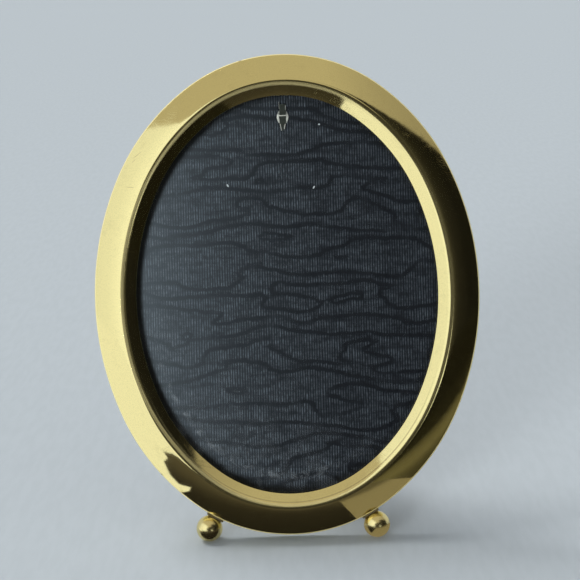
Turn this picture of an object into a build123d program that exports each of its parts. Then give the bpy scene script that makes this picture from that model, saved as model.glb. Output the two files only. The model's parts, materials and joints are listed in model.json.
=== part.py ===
from build123d import *
import os
from math import asin, cos, degrees, radians, sin, tan

# An oval brass photo frame on two ball feet and an easel leg, in millimetres.
# It is drawn face up: x to the right, y up the oval, z out of the face from the rim's rear edge.
# At the end it is stood up, with its face towards -Y, leaning back on its open leg.

# Driving sizes of the whole frame
outer_width = 158.0
outer_height = 197.4
band_width = 17.4
lean_angle = 15.0
leg_angle = 24.0

# Pressed front: one sheet from the side wall over the bevels to the sight edge
sheet_thickness = 0.8
wall_height = 6.0
ridge_inset = 5.1
ridge_height = 12.3
sight_height = 8.6
bevel_crown = 0.55
ridge_radius = 1.3
shoulder_radius = 1.0

# Glass and the pack behind it
glass_thickness = 1.9
glass_overlap = 2.1
glass_clearance = 0.1
rebate_clearance = 0.3
print_gap = 0.9
lining_thickness = 0.3
board_thickness = 2.2
cover_thickness = 0.3

# Rear ring
ring_thickness = 0.8
ring_clearance = 0.05
ring_wall_gap = 0.25

# Turn buttons and their rivets
button_angle = 40.0
button_inset = 8.9
button_arm = 10.4
button_radius = 3.2
button_tip_radius = 2.0
button_thickness = 0.8
button_gap = 0.3
rivet_radius = 1.2
rivet_head_radius = 2.3
rivet_head_thickness = 0.7
rivet_tail_radius = 1.9
rivet_tail_thickness = 0.6
dome_round_share = 0.7
running_clearance = 0.05

# Ball feet, their saddles and screws
ball_radius = 5.4
ball_spacing = 69.0
ball_reach = 5.7
ball_height = 3.6
saddle_length = 7.4
saddle_width = 4.8
saddle_thickness = 0.8
saddle_gap = 0.03
screw_radius = 1.0
screw_depth = 6.0
screw_head_radius = 1.9
screw_head_thickness = 1.1
screw_seat_gap = 0.08
screw_hole_clearance = 0.1

# Easel leg
hinge_rise = 36.0
leg_top_width = 24.0
leg_foot_width = 29.0
leg_thickness = 2.4
leg_top_radius = 5.0
leg_top_gap = 2.6

# Easel hinge
hinge_width = 20.0
knuckle_radius = 1.7
knuckle_width = 8.0
knuckle_gap = 0.3
leaf_thickness = 0.8
leaf_length = 13.0
leaf_corner = 2.0
pin_radius = 0.8
pin_head_radius = 1.2
pin_head_thickness = 0.4
hinge_rivet_spacing = 11.0
hinge_rivet_radius = 1.1
hinge_rivet_head = 2.0
hinge_rivet_dome = 0.7

# Stay ribbon and its tacks
ribbon_drop = 62.0
ribbon_width = 10.5
ribbon_thickness = 0.4
ribbon_tab = 8.0
ribbon_gap = 0.3
tack_radius = 0.6
tack_head_radius = 2.1
tack_head_thickness = 0.5
tack_hole_clearance = 0.3
tack_depth = 1.6

# Hanger clip, eyelet and ring, a set distance below the top of the sight opening
hanger_drop = 6.7
clip_width = 2.6
clip_thickness = 0.4
clip_loop_clearance = 0.35
clip_slot_clearance = 0.3
prong_up = 3.5
prong_down = 7.2
prong_tip_width = 1.3
eyelet_radius = 2.3
eyelet_thickness = 0.2
eyelet_bore = 1.6
hanger_ring_radius = 7.0
hanger_wire_radius = 0.8

# One overrun for every through cut
overrun = 5.0

# How the oval is divided into arcs, and how flat its sides are against a true ellipse
side_half_angle = 24.0
shoulder_end_angle = 54.0
side_radius_share = 0.97

# Sight oval, which every other oval is offset from
sight_half_width = outer_width / 2 - band_width
sight_half_height = outer_height / 2 - band_width
hanger_rise = sight_half_height - hanger_drop

# Heights in the pack, from the glass down to the back
bevel_slope = (ridge_height - sight_height) / ridge_inset
bevel_stretch = (1 + bevel_slope**2) ** 0.5
glass_front = sight_height - sheet_thickness / bevel_stretch - glass_clearance
glass_rear = glass_front - glass_thickness
lining_front = glass_rear - print_gap
board_front = lining_front - lining_thickness
board_rear = board_front - board_thickness
cover_rear = board_rear - cover_thickness
flange_rear = cover_rear
flange_front = flange_rear + ring_thickness
rebate_offset = glass_overlap + rebate_clearance
wall_inner_offset = band_width - sheet_thickness

# Hinge axis, and the leg when it lies folded against the back
hinge_height = cover_rear - knuckle_gap - knuckle_radius
leaf_inner = hinge_height - knuckle_radius
leg_inner = leaf_inner
leg_board_inner = leg_inner - cover_thickness
leg_board_outer = leg_board_inner - leg_thickness
leg_outer = leg_board_outer - cover_thickness


# Arcs of the sight oval, from the right side anticlockwise: centre, radius, start angle, sweep
def oval_arcs():
    first, last = radians(side_half_angle), radians(shoulder_end_angle)
    a, b = sight_half_width, sight_half_height
    side = side_radius_share * b**2 / a
    # The shoulder and top radii make the arcs meet in a common tangent and pass through the top
    m11, m12 = cos(last) - cos(first), -cos(last)
    m21, m22 = sin(last) - sin(first), 1 - sin(last)
    right, up = side * (1 - cos(first)) - a, b - side * sin(first)
    determinant = m11 * m22 - m12 * m21
    shoulder = (right * m22 - m12 * up) / determinant
    top = (m11 * up - m21 * right) / determinant
    side_x = a - side
    shoulder_x = side_x + (side - shoulder) * cos(first)
    shoulder_y = (side - shoulder) * sin(first)
    top_y = b - top
    turn = shoulder_end_angle - side_half_angle
    rest = 180 - 2 * shoulder_end_angle
    half = [
        (shoulder_x, shoulder_y, shoulder, side_half_angle, turn),
        (0, top_y, top, shoulder_end_angle, rest),
        (-shoulder_x, shoulder_y, shoulder, 180 - shoulder_end_angle, turn),
        (-side_x, 0, side, 180 - side_half_angle, 2 * side_half_angle),
    ]
    return half + [(-x, -y, r, start + 180, sweep) for x, y, r, start, sweep in half]


# The point of the oval at an offset, where its outward normal has the given angle
def oval_point(normal_angle, offset):
    for x, y, radius, start, sweep in oval_arcs():
        if (normal_angle - start) % 360 <= sweep:
            reach = radius + offset
            return x + reach * cos(radians(normal_angle)), y + reach * sin(radians(normal_angle))


# A flat oval plate between two heights
def oval_plate(offset, low, high):
    edges = [CenterArc((x, y), r + offset, start, sweep) for x, y, r, start, sweep in oval_arcs()]
    return extrude(Pos(0, 0, low) * make_face(Curve() + edges), high - low)


# The upright plane through a centre, with its x outwards at an angle and its y along z
def radial_plane(x, y, angle):
    outward = (cos(radians(angle)), sin(radians(angle)), 0)
    return Plane((x, y, 0), x_dir=outward, z_dir=(outward[1], -outward[0], 0))


# A ring whose section, drawn as offset and height, follows the whole oval
def oval_ring(section):
    ring = Part()
    for x, y, radius, start, sweep in oval_arcs():
        plane = radial_plane(x, y, start)
        ring += revolve(plane * Pos(radius, 0) * section, Axis((x, y, 0), (0, 0, 1)), sweep)
    return ring


# A round bar along the oval's normal at a foot, measured outwards from the rim wall
def foot_bar(side, radius, start, end):
    return foot_place(side) * Pos(start, 0, 0) * Cylinder(
        radius, end - start, rotation=(0, 90, 0), align=(Align.CENTER, Align.CENTER, Align.MIN)
    )


# Centre and radius of the arc under the middle of the oval
def bottom_arc():
    return next((y, radius) for x, y, radius, start, sweep in oval_arcs() if x == 0 and y < 0)


# Normal angle of a foot, so that the balls stand ball_spacing apart
def foot_angle(side):
    y, radius = bottom_arc()
    return 270 + side * degrees(asin(ball_spacing / 2 / (radius + band_width + ball_reach)))


# Place on the rim wall at a foot: x outwards along the normal
def foot_place(side):
    x, y = oval_point(foot_angle(side), band_width)
    return Pos(x, y, ball_height) * Rot(0, 0, foot_angle(side))


# Centre of a ball foot in the drawing frame
def ball_centre(side):
    return (foot_place(side) * Pos(ball_reach, 0, 0)).position


# Section of the pressed sheet: its skin from the sight edge to the rear edge, thickened inwards
def bezel_section():
    crown_x = (ridge_inset + band_width) / 2
    crown_y = (ridge_height + wall_height) / 2 + bevel_crown
    # The inner bevel runs on past the sight edge, so that the cut there is square across the sheet
    lead = 2 * sheet_thickness
    lead_height = sight_height - bevel_slope * lead
    outline = make_face(Curve() + [
        Line((-lead, lead_height), (ridge_inset, ridge_height)),
        ThreePointArc((ridge_inset, ridge_height), (crown_x, crown_y), (band_width, wall_height)),
        Line((band_width, wall_height), (band_width, 0)),
        Line((band_width, 0), (-lead, 0)),
        Line((-lead, 0), (-lead, lead_height)),
    ])
    outline = fillet(outline.vertices().sort_by(Axis.Y)[-1], ridge_radius)
    rim_vertices = outline.vertices().filter_by_position(Axis.X, band_width, band_width)
    outline = fillet(rim_vertices.sort_by(Axis.Y)[-1], shoulder_radius)
    hollow = offset(outline, -sheet_thickness)
    floor = Rectangle(2 * wall_inner_offset, 2 * sheet_thickness)
    slope = degrees(asin(bevel_slope / bevel_stretch))
    sight_cut = Pos(0, sight_height) * Rot(0, 0, slope) * Rectangle(
        ridge_height, 2 * ridge_height, align=(Align.MAX, Align.CENTER)
    )
    section = outline - hollow - floor - sight_cut
    return section.faces().sort_by(SortBy.AREA)[-1]


# The pressed brass front
def front_bezel():
    bezel = oval_ring(bezel_section())
    for side in (-1, 1):
        bezel -= foot_bar(side, screw_radius + screw_hole_clearance, -overrun, overrun)
    return bezel


# The ring that makes the rebate and closes the hollow front
def rear_ring():
    flange_outer = wall_inner_offset - ring_clearance
    rebate_outer = rebate_offset + ring_thickness
    sheet_under = sight_height + bevel_slope * rebate_offset - sheet_thickness * bevel_stretch
    wall_top = sheet_under - ring_wall_gap
    points = [
        (rebate_offset, flange_rear),
        (flange_outer, flange_rear),
        (flange_outer, flange_front),
        (rebate_outer, flange_front),
        (rebate_outer, wall_top),
        (rebate_offset, wall_top),
    ]
    ring = oval_ring(make_face(Polyline(points, close=True)))
    for x, y, turn in button_places().values():
        ring -= Pos(x, y, flange_rear) * Cylinder(rivet_radius + running_clearance, 2 * overrun)
    # Notches leave room for the heads of the foot screws
    notch_radius = screw_head_radius + rebate_clearance
    notch_depth = sheet_thickness + screw_seat_gap + screw_head_thickness + rebate_clearance
    for side in (-1, 1):
        ring -= foot_bar(side, notch_radius, -notch_depth, 0)
    return ring


def glass_pane():
    return oval_plate(glass_overlap, glass_rear, glass_front)


# The slot that the clip goes through, in the cover, board and lining
def clip_slot():
    width = clip_width + 2 * clip_slot_clearance
    height = 2 * clip_thickness + 2 * clip_slot_clearance
    return Pos(0, hanger_rise, board_rear) * Box(width, height, 2 * overrun)


# Shanks of the hinge rivets and the ribbon tack, as holes in the back
def back_holes():
    holes = [Pos(x, y, board_rear) * Cylinder(hinge_rivet_radius, 2 * overrun) for x, y in back_rivet_places()]
    holes.append(Pos(0, ribbon_back_centre(), board_rear) * Cylinder(tack_radius, 2 * overrun))
    return holes


def moire_lining():
    return oval_plate(glass_overlap, board_front, lining_front) - clip_slot()


def backing_board():
    board = oval_plate(glass_overlap, board_rear, board_front) - clip_slot()
    for x, y in back_rivet_places():
        board -= Pos(x, y, board_rear) * Cylinder(hinge_rivet_radius, 2 * overrun)
        board -= Pos(x, y, board_front) * Cylinder(hinge_rivet_head + running_clearance, 2 * hinge_rivet_dome)
    board -= Pos(0, ribbon_back_centre(), cover_rear + tack_depth / 2) * Cylinder(tack_radius, tack_depth)
    return board


def back_cover():
    cover = oval_plate(glass_overlap, cover_rear, board_rear) - clip_slot()
    for hole in back_holes():
        cover -= hole
    return cover


# Where the turn buttons pivot, and which way their arms point
def button_places():
    places = {}
    for name, angle in (
        ("top_right", button_angle),
        ("top_left", 180 - button_angle),
        ("bottom_left", 180 + button_angle),
        ("bottom_right", 360 - button_angle),
    ):
        x, y = oval_point(angle, button_inset)
        places[name] = (x, y, angle + 180)
    return places


def turn_button(x, y, turn):
    outline = make_hull(
        (Circle(button_radius) + Pos(button_arm - button_tip_radius, 0) * Circle(button_tip_radius)).edges()
    )
    plate = extrude(outline, button_thickness) - Cylinder(rivet_radius + running_clearance, 2 * overrun)
    low = flange_rear - button_gap - button_thickness
    return Pos(x, y, low) * Rot(0, 0, turn) * plate


# A rivet with a domed head below, a shank, and a flat tail above
def rivet(radius, head_radius, dome, shank_length, tail_radius, tail_thickness):
    head = extrude(Circle(head_radius), -dome)
    head = fillet(head.edges().sort_by(Axis.Z)[0], dome_round_share * dome)
    shank = extrude(Circle(radius), shank_length)
    tail = Pos(0, 0, shank_length) * extrude(Circle(tail_radius), tail_thickness)
    return head + shank + tail


def button_rivets():
    head_top = flange_rear - button_gap - button_thickness - running_clearance
    pivot = rivet(
        rivet_radius, rivet_head_radius, rivet_head_thickness,
        flange_front - head_top, rivet_tail_radius, rivet_tail_thickness,
    )
    return [Pos(x, y, head_top) * pivot for x, y, turn in button_places().values()]


# The curved strip between a ball and the rim wall
def foot_saddle(side):
    y, radius = bottom_arc()
    reach = radius + band_width + saddle_gap
    half_turn = degrees(saddle_length / 2 / reach)
    section = Pos(reach, ball_height) * Rectangle(saddle_thickness, saddle_width, align=(Align.MIN, Align.CENTER))
    start = foot_angle(side) - half_turn
    strip = revolve(radial_plane(0, y, start) * section, Axis((0, y, 0), (0, 0, 1)), 2 * half_turn)
    return strip - foot_bar(side, screw_radius + screw_hole_clearance, -overrun, overrun)


# A solid ball with a flat seat on the saddle and a tapped hole for its screw
def ball_foot(side):
    seat = saddle_gap + saddle_thickness + screw_seat_gap
    ball = foot_place(side) * Pos(ball_reach, 0, 0) * Sphere(ball_radius)
    ball -= foot_place(side) * Pos(seat, 0, 0) * Box(
        2 * ball_radius, 2 * ball_radius, 2 * ball_radius, align=(Align.MAX, Align.CENTER, Align.CENTER)
    )
    return ball - foot_bar(side, screw_radius + running_clearance, 0, screw_depth + screw_seat_gap)


def foot_screw(side):
    head_face = -sheet_thickness - screw_seat_gap
    shank = foot_bar(side, screw_radius, head_face, screw_depth)
    head = foot_bar(side, screw_head_radius, head_face - screw_head_thickness, head_face)
    slot = foot_place(side) * Pos(head_face - screw_head_thickness, 0, 0) * Box(
        screw_head_thickness, screw_radius / 2, 2 * screw_head_radius + overrun
    )
    return shank + head - slot


# Rivets of the hinge leaf on the back, above the hinge
def back_rivet_places():
    y = hinge_rise + knuckle_radius + leaf_length / 2
    return [(side * hinge_rivet_spacing / 2, y) for side in (-1, 1)]


# Rivets of the hinge leaf on the leg, below the hinge
def leg_rivet_places():
    y = hinge_rise - knuckle_radius - leg_top_gap / 2 - leaf_length / 2
    return [(side * hinge_rivet_spacing / 2, y) for side in (-1, 1)]


def knuckle(width, centre):
    return Pos(centre, hinge_rise, hinge_height) * Cylinder(knuckle_radius, width, rotation=(0, 90, 0))


def pin_bore():
    return Pos(0, hinge_rise, hinge_height) * Cylinder(
        pin_radius + running_clearance, hinge_width + overrun, rotation=(0, 90, 0)
    )


# Leaf plate from the hinge axis, upwards for direction 1 or downwards for -1, with its outer corners rounded
def leaf_plate(direction, low):
    length = knuckle_radius + leg_top_gap / 2 + leaf_length
    plate = Pos(0, hinge_rise + direction * length / 2, low) * Box(
        hinge_width, length, leaf_thickness, align=(Align.CENTER, Align.CENTER, Align.MIN)
    )
    corners = plate.edges().filter_by(Axis.Z).sort_by(Axis.Y)
    return fillet(corners[-2:] if direction > 0 else corners[:2], leaf_corner)


# Space round the hinge axis that one leaf leaves for the other's knuckles
def knuckle_room(width, centre):
    room = 2 * (knuckle_radius + knuckle_gap)
    return Pos(centre, hinge_rise, hinge_height) * Box(width, room, room + 2 * leaf_thickness)


def hinge_back_leaf():
    side_width = (hinge_width - knuckle_width) / 2 - knuckle_gap
    side_centre = (hinge_width - side_width) / 2
    leaf = leaf_plate(1, cover_rear - leaf_thickness) - knuckle_room(knuckle_width + 2 * knuckle_gap, 0)
    leaf += knuckle(side_width, side_centre) + knuckle(side_width, -side_centre)
    for x, y in back_rivet_places():
        leaf -= Pos(x, y, cover_rear) * Cylinder(hinge_rivet_radius, 2 * overrun)
    return leaf - pin_bore()


def hinge_leg_leaf():
    side_room = (hinge_width - knuckle_width) / 2
    leaf = leaf_plate(-1, leaf_inner)
    for side in (-1, 1):
        leaf -= knuckle_room(side_room, side * (hinge_width - side_room) / 2)
    leaf += knuckle(knuckle_width, 0)
    for x, y in leg_rivet_places():
        leaf -= Pos(x, y, leaf_inner) * Cylinder(hinge_rivet_radius, 2 * overrun)
    return leaf - pin_bore()


def hinge_pin():
    shank = Cylinder(pin_radius, hinge_width + 2 * knuckle_gap)
    head = Cylinder(pin_head_radius, pin_head_thickness)
    reach = (hinge_width + pin_head_thickness) / 2 + running_clearance
    pin = shank + Pos(0, 0, reach) * head + Pos(0, 0, -reach) * head
    return Pos(0, hinge_rise, hinge_height) * Rot(0, 90, 0) * pin


# Rivets with their domes on the leaf and flush tails under the lining
def hinge_rivets_back():
    head_top = cover_rear - leaf_thickness
    tail = hinge_rivet_dome
    pin = rivet(
        hinge_rivet_radius, hinge_rivet_head, hinge_rivet_dome,
        board_front - tail - head_top, hinge_rivet_head, tail,
    )
    return [Pos(x, y, head_top) * pin for x, y in back_rivet_places()]


# Rivets with their domes on the leg's outer face and flat tails on the leaf
def hinge_rivets_leg():
    pin = rivet(
        hinge_rivet_radius, hinge_rivet_head, hinge_rivet_dome,
        leaf_inner + leaf_thickness - leg_outer, hinge_rivet_head, hinge_rivet_dome / 2,
    )
    return [Pos(x, y, leg_outer) * pin for x, y in leg_rivet_places()]


# Outline of the leg as it lies folded, wide enough past the floor to be trimmed there
def leg_outline():
    top = hinge_rise - leg_top_gap
    bottom = floor_rise() - overrun
    sketch = make_face(Polyline(
        (-leg_top_width / 2, top),
        (leg_top_width / 2, top),
        (leg_foot_width / 2, bottom),
        (-leg_foot_width / 2, bottom),
        close=True,
    ))
    return fillet(sketch.vertices().sort_by(Axis.Y)[-2:], leg_top_radius)


# Where the folded leg's length ends on the drawing's y axis
def floor_rise():
    return hinge_rise - leg_reach()


def leg_sheet(low, high):
    plate = extrude(Pos(0, 0, low) * leg_outline(), high - low)
    for x, y in leg_rivet_places():
        plate -= Pos(x, y, low) * Cylinder(hinge_rivet_radius, 2 * overrun)
    return plate


def leg_board():
    board = leg_sheet(leg_board_outer, leg_board_inner)
    return board - Pos(0, ribbon_leg_centre(), leg_inner - tack_depth / 2) * Cylinder(tack_radius, tack_depth)


def leg_covers():
    inner = leg_sheet(leg_board_inner, leg_inner)
    inner -= Pos(0, ribbon_leg_centre(), leg_inner) * Cylinder(tack_radius, 2 * cover_thickness)
    return [inner, leg_sheet(leg_outer, leg_board_outer)]


# The ribbon's tabs lie above its anchors, on the back and on the leg
def ribbon_back_centre():
    return hinge_rise - ribbon_drop + ribbon_tab / 2


def ribbon_leg_centre():
    return hinge_rise - ribbon_drop + ribbon_tab / 2


# A point of the folded leg, given as y and z, after the leg has swung open
def opened(y, z):
    turn = radians(leg_angle)
    dy, dz = y - hinge_rise, z - hinge_height
    return hinge_rise + dy * cos(turn) - dz * sin(turn), hinge_height + dy * sin(turn) + dz * cos(turn)


# The ribbon as it is pulled tight between the back and the open leg
def stay_ribbon():
    back_z = cover_rear - ribbon_gap - ribbon_thickness / 2
    leg_z = leg_inner + ribbon_gap + ribbon_thickness / 2
    low = hinge_rise - ribbon_drop
    path = Polyline((low + ribbon_tab, back_z), (low, back_z), opened(low, leg_z), opened(low + ribbon_tab, leg_z))
    strip = extrude(Plane.YZ * trace(path, ribbon_thickness), ribbon_width / 2, both=True)
    hole = tack_radius + tack_hole_clearance
    strip -= Pos(0, ribbon_back_centre(), back_z) * Cylinder(hole, 2 * ribbon_gap + ribbon_thickness)
    return strip - leg_turn() * Pos(0, ribbon_leg_centre(), leg_z) * Cylinder(hole, 2 * ribbon_gap + ribbon_thickness)


# A tack, its head over the ribbon and its shank in the board; z points out of the board
def tack():
    stand = 2 * ribbon_gap + ribbon_thickness
    shank = Pos(0, 0, -tack_depth) * extrude(Circle(tack_radius), tack_depth + stand)
    return shank + Pos(0, 0, stand) * extrude(Circle(tack_head_radius), tack_head_thickness)


def ribbon_tack_back():
    return Pos(0, ribbon_back_centre(), cover_rear) * Rot(180, 0, 0) * tack()


def ribbon_tack_leg():
    return Pos(0, ribbon_leg_centre(), leg_inner) * tack()


# Centre of the clip's loop, which the ring swings about
def loop_height():
    return cover_rear - running_clearance - clip_thickness - clip_loop_clearance - hanger_wire_radius


# A folded strip: a loop round the ring, two legs through the slot, and prongs spread on the eyelet
def hanger_clip():
    bore = hanger_wire_radius + clip_loop_clearance
    loop = Circle(bore + clip_thickness) - Circle(bore)
    loop = Pos(hanger_rise, loop_height()) * loop
    prong_low = lining_front + eyelet_thickness + running_clearance
    prong_high = prong_low + clip_thickness
    leg_start = loop_height() + bore + clip_thickness / 2
    legs = Pos(hanger_rise, leg_start) * Rectangle(
        2 * clip_thickness, prong_high - leg_start, align=(Align.CENTER, Align.MIN)
    )
    strip = extrude(Plane.YZ * (loop + legs), clip_width / 2, both=True)
    half_width, half_tip = clip_width / 2, prong_tip_width / 2
    shoulder = hanger_rise - prong_down + clip_width
    prongs = Pos(0, 0, prong_low) * make_face(Polyline(
        (-half_width, hanger_rise + prong_up),
        (half_width, hanger_rise + prong_up),
        (half_width, shoulder),
        (half_tip, hanger_rise - prong_down),
        (-half_tip, hanger_rise - prong_down),
        (-half_width, shoulder),
        close=True,
    ))
    return strip + extrude(prongs, clip_thickness)


def hanger_eyelet():
    washer = extrude(Circle(eyelet_radius) - Circle(eyelet_bore), eyelet_thickness)
    return Pos(0, hanger_rise, lining_front) * washer


# The ring as it lies flat against the back, before it is let hang
def hanger_ring():
    return Pos(0, hanger_rise - hanger_ring_radius, loop_height()) * Torus(hanger_ring_radius, hanger_wire_radius)


# The turns that open the leg and let the ring hang straight down
def leg_turn():
    return swing(hinge_rise, hinge_height, leg_angle)


def ring_turn():
    return swing(hanger_rise, loop_height(), lean_angle)


def swing(y, z, angle):
    return Pos(0, y, z) * Rot(angle, 0, 0) * Pos(0, -y, -z)


# Height above the floor of a point of the drawing, once the frame leans back on its feet
def height_above_feet(y, z):
    ball = ball_centre(1)
    lean = radians(lean_angle)
    return (y - ball.Y) * cos(lean) + (z - ball.Z) * sin(lean) + ball_radius


# Length of the leg from the hinge axis to the floor, along its inner face
def leg_reach():
    return height_above_feet(hinge_rise, hinge_height) / cos(radians(leg_angle - lean_angle))


# The pose of the standing frame: leaning on its feet, the floor at height zero, its depth centred
def stand():
    lean = radians(lean_angle)
    leaning = Rot(90 - lean_angle, 0, 0)
    lift = height_above_feet(0, 0)
    front = min((leaning * solid).bounding_box().min.Y for solid in (front_bezel(), ball_foot(1)))
    hinge_depth = hinge_rise * sin(lean) - hinge_height * cos(lean)
    foot_turn = radians(leg_angle - lean_angle)
    rear = hinge_depth + leg_reach() * sin(foot_turn) + (hinge_height - leg_outer) / cos(foot_turn)
    return Pos(0, -(front + rear) / 2, lift) * leaning


# Everything below the floor, for trimming the leg's foot flush with it
def below_floor():
    size = 2 * outer_height
    return Box(size, size, size, align=(Align.CENTER, Align.CENTER, Align.MAX))


def build():
    pose = stand()
    nodes = {
        "front_bezel": front_bezel(),
        "rear_ring": rear_ring(),
        "glass_pane": glass_pane(),
        "moire_lining": moire_lining(),
        "backing_board": backing_board(),
        "back_cover": back_cover(),
        "button_rivets": button_rivets(),
        "hinge_back_leaf": hinge_back_leaf(),
        "hinge_pin": hinge_pin(),
        "hinge_rivets_back": hinge_rivets_back(),
        "stay_ribbon": stay_ribbon(),
        "ribbon_tack_back": ribbon_tack_back(),
        "hanger_clip": hanger_clip(),
        "hanger_eyelet": hanger_eyelet(),
        "hanger_ring": ring_turn() * hanger_ring(),
        "foot_screws": [foot_screw(side) for side in (-1, 1)],
    }
    for name, (x, y, turn) in button_places().items():
        nodes["turn_button_" + name] = turn_button(x, y, turn)
    for name, side in (("left", -1), ("right", 1)):
        nodes["foot_saddle_" + name] = foot_saddle(side)
        nodes["ball_foot_" + name] = ball_foot(side)
    leg = {
        "leg_board": leg_board(),
        "leg_covers": leg_covers(),
        "hinge_leg_leaf": hinge_leg_leaf(),
        "hinge_rivets_leg": hinge_rivets_leg(),
        "ribbon_tack_leg": ribbon_tack_leg(),
    }
    for name, shape in leg.items():
        group = shape if isinstance(shape, list) else [shape]
        nodes[name] = [leg_turn() * solid for solid in group]
    stood = {}
    for name, shape in nodes.items():
        group = shape if isinstance(shape, list) else [shape]
        group = [pose * solid for solid in group]
        if name in ("leg_board", "leg_covers"):
            group = [solid - below_floor() for solid in group]
        stood[name] = group[0] if len(group) == 1 else Compound(children=group)
    return stood


os.makedirs("parts", exist_ok=True)
for node, solid in build().items():
    export_step(solid, "parts/" + node + ".step")
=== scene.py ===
import json
from math import asin, cos, pi, radians, sin, tan

import bmesh
import bpy
from mathutils import Matrix, Vector


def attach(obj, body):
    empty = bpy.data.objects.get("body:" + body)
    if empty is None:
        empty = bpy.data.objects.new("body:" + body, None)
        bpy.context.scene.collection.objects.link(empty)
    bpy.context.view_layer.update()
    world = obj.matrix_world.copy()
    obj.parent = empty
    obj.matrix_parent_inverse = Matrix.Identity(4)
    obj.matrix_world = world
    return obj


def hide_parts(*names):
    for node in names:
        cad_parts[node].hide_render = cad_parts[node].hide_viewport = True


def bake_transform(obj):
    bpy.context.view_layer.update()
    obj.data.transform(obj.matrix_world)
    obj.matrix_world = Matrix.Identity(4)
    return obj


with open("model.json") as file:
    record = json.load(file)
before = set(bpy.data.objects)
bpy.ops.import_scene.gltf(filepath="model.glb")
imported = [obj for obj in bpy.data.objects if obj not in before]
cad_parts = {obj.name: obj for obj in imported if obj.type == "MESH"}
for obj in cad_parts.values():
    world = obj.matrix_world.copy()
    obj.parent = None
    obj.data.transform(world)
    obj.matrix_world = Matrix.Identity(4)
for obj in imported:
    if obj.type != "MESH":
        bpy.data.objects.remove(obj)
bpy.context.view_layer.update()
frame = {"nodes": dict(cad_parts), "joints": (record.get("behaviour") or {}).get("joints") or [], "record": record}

# Shapes are drawn in millimetres with the frame lying face up: x right, y up the oval, z out of the face.
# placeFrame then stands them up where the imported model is, and placeLeg and placeRing also swing them open.
mm = 0.001
joints = {joint["name"]: joint for joint in frame["joints"]}
faceNormal = Vector(joints["button_turn_top_left"]["axis"])
leanAngle = asin(faceNormal.z)

oval = {
    "halfWidth": 61.6,  # of the sight opening
    "halfHeight": 81.3,
    "band": 17.4,
    "sideAngle": 24,  # where the side arcs end, as the angle of their normal
    "shoulderAngle": 54,
    "sideShare": 0.97,  # side radius against a true ellipse's
}
heights = {
    "glassFront": 7.852,
    "glassRear": 5.952,
    "liningFront": 5.052,
    "boardFront": 4.752,
    "boardRear": 2.552,
    "coverRear": 2.252,
    "legInner": -1.448,
    "legOuter": -4.448,
}
axes = {"hinge": (36.0, 0.252), "ring": (74.6, 0.652)}  # rise and height


# Turns a drawing about an axis along x
def swing(rise, height, angle):
    pivot = Matrix.Translation((0, rise, height))
    return pivot @ Matrix.Rotation(angle, 4, "X") @ pivot.inverted()


standUp = Matrix.Rotation(pi / 2 - leanAngle, 4, "X")
hingePoint = Vector((0, *axes["hinge"])) * mm
placeFrame = Matrix.Translation(Vector(joints["leg_fold"]["pos_m"]) - standUp @ hingePoint) @ standUp
placeFrame = placeFrame @ Matrix.Scale(mm, 4)
openLeg = swing(*axes["hinge"], -radians(joints["leg_fold"]["range_deg"][0]))
placeLeg = placeFrame @ openLeg
placeRing = placeFrame @ swing(*axes["ring"], leanAngle)


# Shader trees

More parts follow.
